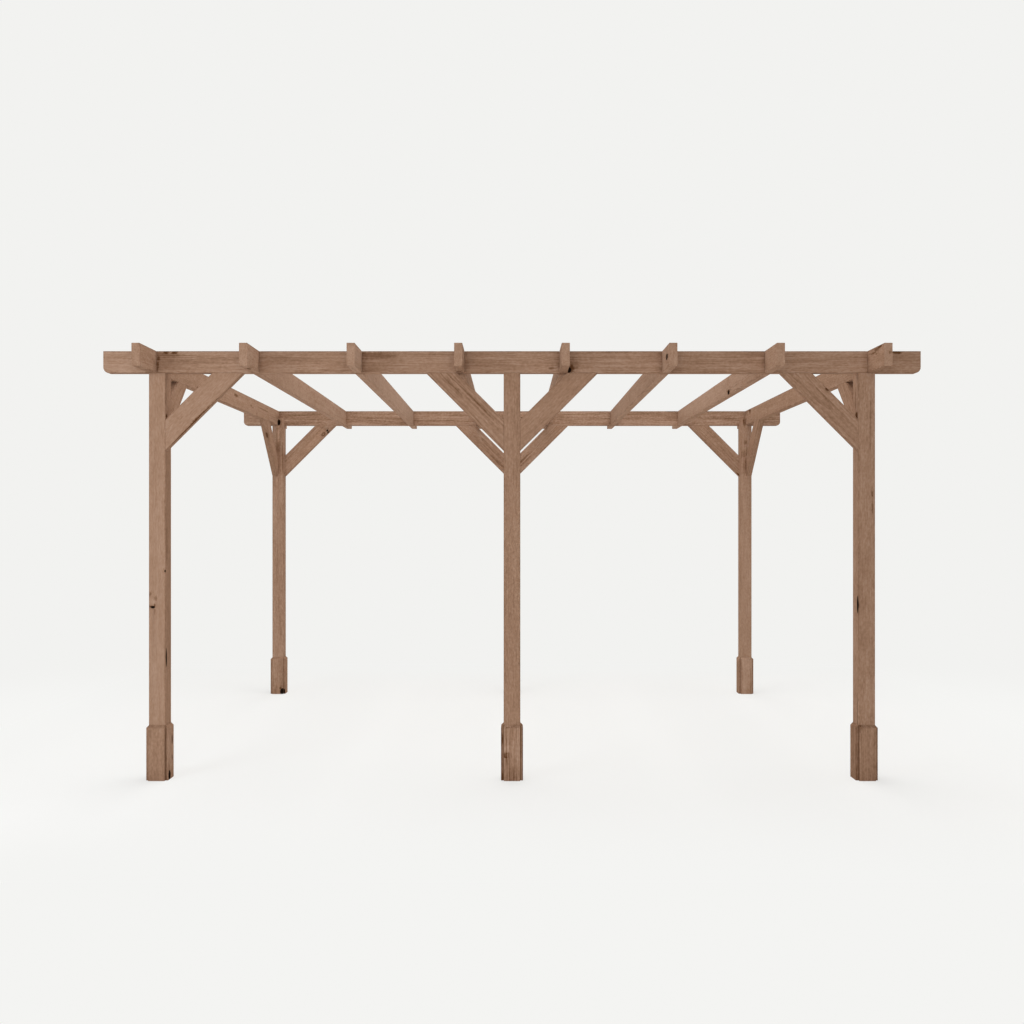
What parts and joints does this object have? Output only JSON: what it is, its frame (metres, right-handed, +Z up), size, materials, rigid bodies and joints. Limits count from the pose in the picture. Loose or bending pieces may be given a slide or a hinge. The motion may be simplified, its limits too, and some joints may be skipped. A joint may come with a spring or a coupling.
{
  "type": "wooden pergola",
  "caption": "Free-standing open garden pergola: square posts in two rows carry beams, halved rafters and knee braces, with boarded post feet.",
  "frame": {"origin": "on the ground, in the middle of the plan", "axes": "+X along the rows of posts to the right, +Y from the front row to the back row, +Z up"},
  "size_m": [4.665, 3.545, 2.45],
  "materials": {
    "post_timber": "brown-stained planed softwood, matt to low satin, knots and grain showing",
    "beam_timber": "brown-stained planed softwood, matt to low satin, knots and grain showing",
    "rafter_timber": "brown-stained planed softwood, matt to low satin, knots and grain showing",
    "brace_timber": "brown-stained planed softwood, matt to low satin, knots and grain showing",
    "foot_board": "brown-stained planed softwood, matt to low satin, knots and grain showing"
  },
  "bodies": {
    "root": {"post_front_left": "post_timber", "foot_boards_front_left": "foot_board", "post_front_centre": "post_timber", "foot_boards_front_centre": "foot_board", "post_front_right": "post_timber", "foot_boards_front_right": "foot_board", "beam_front": "beam_timber", "brace_front_left": "brace_timber", "brace_front_centre_left": "brace_timber", "brace_front_centre_right": "brace_timber", "brace_front_right": "brace_timber", "side_brace_front_left": "brace_timber", "side_brace_front_right": "brace_timber", "post_back_left": "post_timber", "foot_boards_back_left": "foot_board", "post_back_centre": "post_timber", "foot_boards_back_centre": "foot_board", "post_back_right": "post_timber", "foot_boards_back_right": "foot_board", "beam_back": "beam_timber", "brace_back_left": "brace_timber", "brace_back_centre_left": "brace_timber", "brace_back_centre_right": "brace_timber", "brace_back_right": "brace_timber", "side_brace_back_left": "brace_timber", "side_brace_back_right": "brace_timber", "rafter_1": "rafter_timber", "rafter_2": "rafter_timber", "rafter_3": "rafter_timber", "rafter_4": "rafter_timber", "rafter_5": "rafter_timber", "rafter_6": "rafter_timber", "rafter_7": "rafter_timber", "rafter_8": "rafter_timber"}
  },
  "joints": []
}
